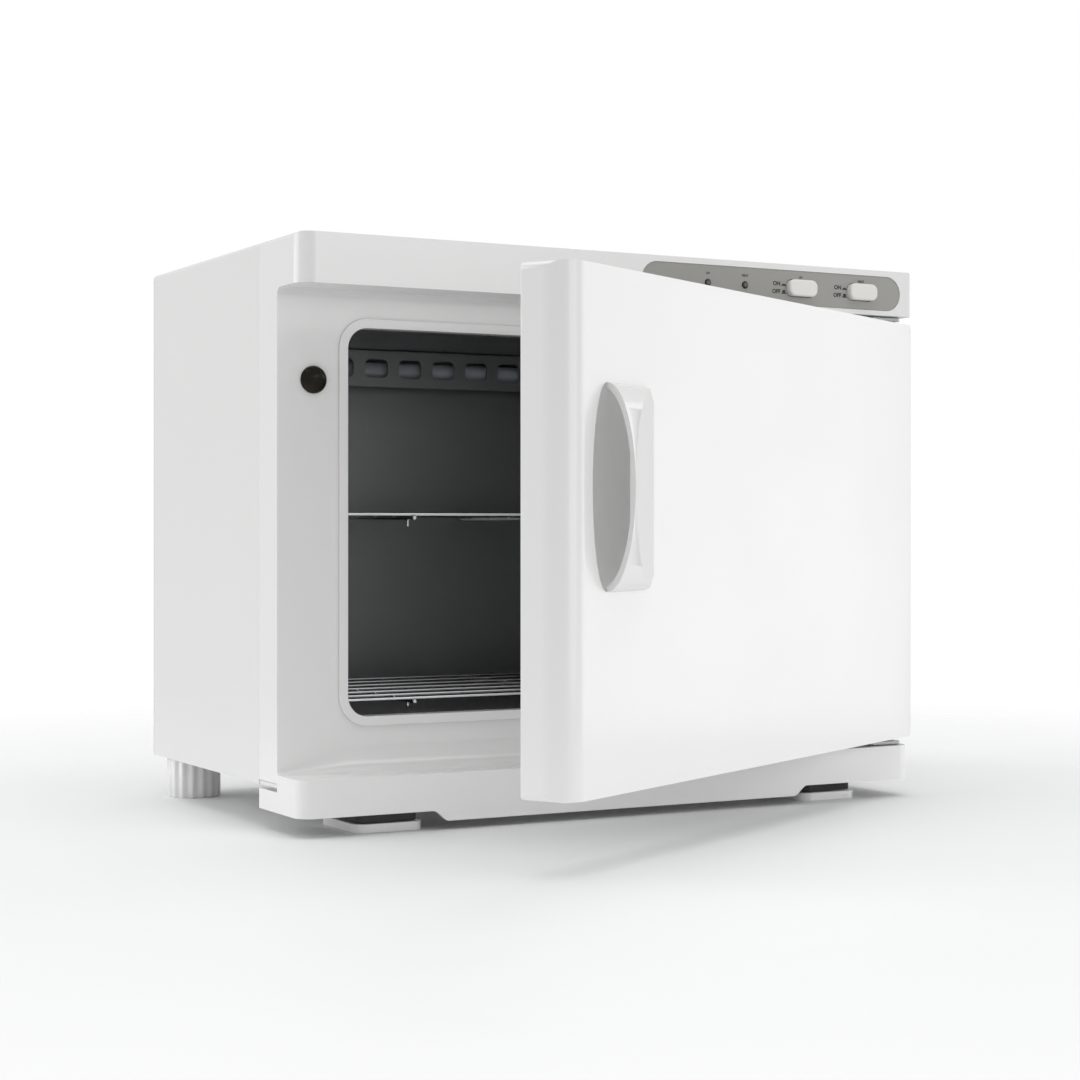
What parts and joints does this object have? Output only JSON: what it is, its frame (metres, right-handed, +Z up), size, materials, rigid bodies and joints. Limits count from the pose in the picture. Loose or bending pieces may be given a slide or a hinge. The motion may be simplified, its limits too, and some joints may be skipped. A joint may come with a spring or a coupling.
{
  "type": "hot towel cabinet",
  "caption": "Countertop hot towel cabinet: white case with a side-hinged door standing ajar, wire racks in a heated chamber, push buttons and indicator lamps.",
  "frame": {"origin": "on the surface that the feet stand on, under the middle of the whole part's box with the door ajar as stored", "axes": "+Z up; +Y towards the cabinet's back, so the front faces -Y; +X to the right of someone facing the front"},
  "size_m": [0.456, 0.4784, 0.358],
  "materials": {
    "case_enamel": "white baked enamel, satin",
    "gloss_white": "glossy white moulded plastic",
    "panel_grey": "satin warm grey overlay",
    "button_white": "warm white, semi-gloss",
    "lens_dark": "dark translucent lens, unlit",
    "black_plastic": "black moulded plastic",
    "zinc_steel": "zinc-plated steel",
    "chamber_aluminium": "plain aluminium sheet, brushed",
    "rack_chrome": "bright plated wire",
    "insulation_felt": "compressed fibre felt",
    "natural_nylon": "natural nylon",
    "lamp_glass": "clear quartz-type tube",
    "magnet_dark": "polished dark olive black",
    "seal_silicone": "soft white silicone",
    "foot_rubber": "dark grey rubber"
  },
  "bodies": {
    "cabinet": {"outer_case": "case_enamel", "back_panel": "case_enamel", "base_pan": "case_enamel", "front_frame": "gloss_white", "opening_trim": "gloss_white", "front_foot_left": "gloss_white", "front_foot_right": "gloss_white", "rear_foot_left": "gloss_white", "rear_foot_right": "gloss_white", "control_panel": "panel_grey", "uv_indicator": "lens_dark", "heat_indicator": "lens_dark", "uv_switch": "black_plastic", "heat_switch": "black_plastic", "thermostat": "black_plastic", "cord_gland": "black_plastic", "switch_bracket": "zinc_steel", "heater_plate": "zinc_steel", "ballast": "zinc_steel", "hinge_bracket_top": "zinc_steel", "hinge_bracket_bottom": "zinc_steel", "hinge_pin_top": "zinc_steel", "hinge_pin_bottom": "zinc_steel", "back_screw_top_left": "zinc_steel", "back_screw_bottom_left": "zinc_steel", "back_screw_top_right": "zinc_steel", "back_screw_bottom_right": "zinc_steel", "chamber_liner": "chamber_aluminium", "rack_ledge_lower_left": "chamber_aluminium", "rack_ledge_lower_right": "chamber_aluminium", "rack_ledge_upper_left": "chamber_aluminium", "rack_ledge_upper_right": "chamber_aluminium", "lamp_guard": "chamber_aluminium", "insulation_jacket": "insulation_felt", "base_insulation": "insulation_felt", "thermal_fuse": "natural_nylon", "lamp_holder_left": "natural_nylon", "lamp_holder_right": "natural_nylon", "starter": "natural_nylon", "terminal_block": "natural_nylon", "uv_lamp": "lamp_glass", "magnet_catch": "magnet_dark", "front_foot_pad_left": "foot_rubber", "front_foot_pad_right": "foot_rubber"},
    "door": {"door_shell": "gloss_white", "door_panel": "gloss_white", "door_insulation": "insulation_felt", "door_gasket": "seal_silicone", "door_handle": "gloss_white", "strike_plate": "zinc_steel", "hinge_bush_top": "natural_nylon", "hinge_bush_bottom": "natural_nylon"},
    "uv_button": {"uv_button": "button_white"},
    "heat_button": {"heat_button": "button_white"},
    "rack_upper": {"rack_upper": "rack_chrome"},
    "rack_lower": {"rack_lower": "rack_chrome"}
  },
  "joints": [
    {"name": "door_hinge", "type": "hinge", "parent": "cabinet", "child": "door", "pos_m": [0.20998, -0.01477, 0.18], "axis": [0, 0, 1], "range_deg": [-28.75, 80]},
    {"name": "uv_button_press", "type": "slide", "parent": "cabinet", "child": "uv_button", "axis": [0, 1, 0], "range_m": [0, 0.003], "stiffness_N_per_m": 400, "springref_m": -0.001},
    {"name": "heat_button_press", "type": "slide", "parent": "cabinet", "child": "heat_button", "axis": [0, 1, 0], "range_m": [0, 0.003], "stiffness_N_per_m": 400, "springref_m": -0.001},
    {"name": "rack_upper_slide", "type": "slide", "parent": "cabinet", "child": "rack_upper", "axis": [0, -1, 0], "range_m": [0, 0.01]},
    {"name": "rack_lower_slide", "type": "slide", "parent": "cabinet", "child": "rack_lower", "axis": [0, -1, 0], "range_m": [0, 0.01]}
  ]
}
